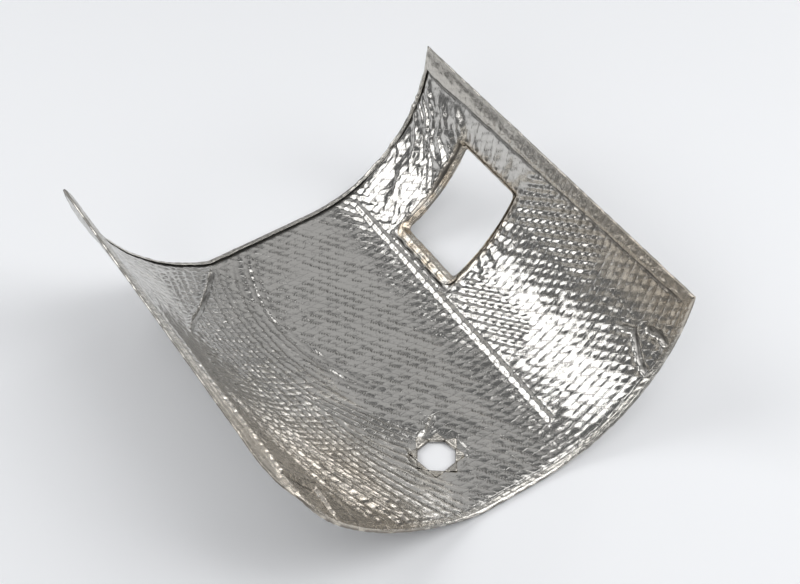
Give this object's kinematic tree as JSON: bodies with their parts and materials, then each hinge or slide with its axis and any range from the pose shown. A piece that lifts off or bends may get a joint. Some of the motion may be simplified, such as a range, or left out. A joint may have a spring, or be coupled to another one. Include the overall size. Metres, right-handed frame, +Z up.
{
  "type": "exhaust manifold heat shield",
  "caption": "Trough-shaped heat shield of embossed foil over a fibre mat, with hemmed edges, a rectangular window and a faceted stud hole ringed by folded petals.",
  "frame": {"origin": "under the middle of the trough's flat floor, on the face that rests on a surface", "axes": "+X across the trough towards the wall with the window, +Y along the trough towards the end beside the window, +Z up out of the trough"},
  "size_m": [0.3324, 0.33, 0.135],
  "materials": {
    "outer_foil": "embossed stainless foil",
    "inner_foil": "embossed stainless foil, tinted by heat near the hems",
    "insulation_mat": "needled mineral fibre"
  },
  "bodies": {
    "root": {"outer_foil": "outer_foil", "insulation_mat": "insulation_mat", "inner_foil": "inner_foil"}
  },
  "joints": []
}
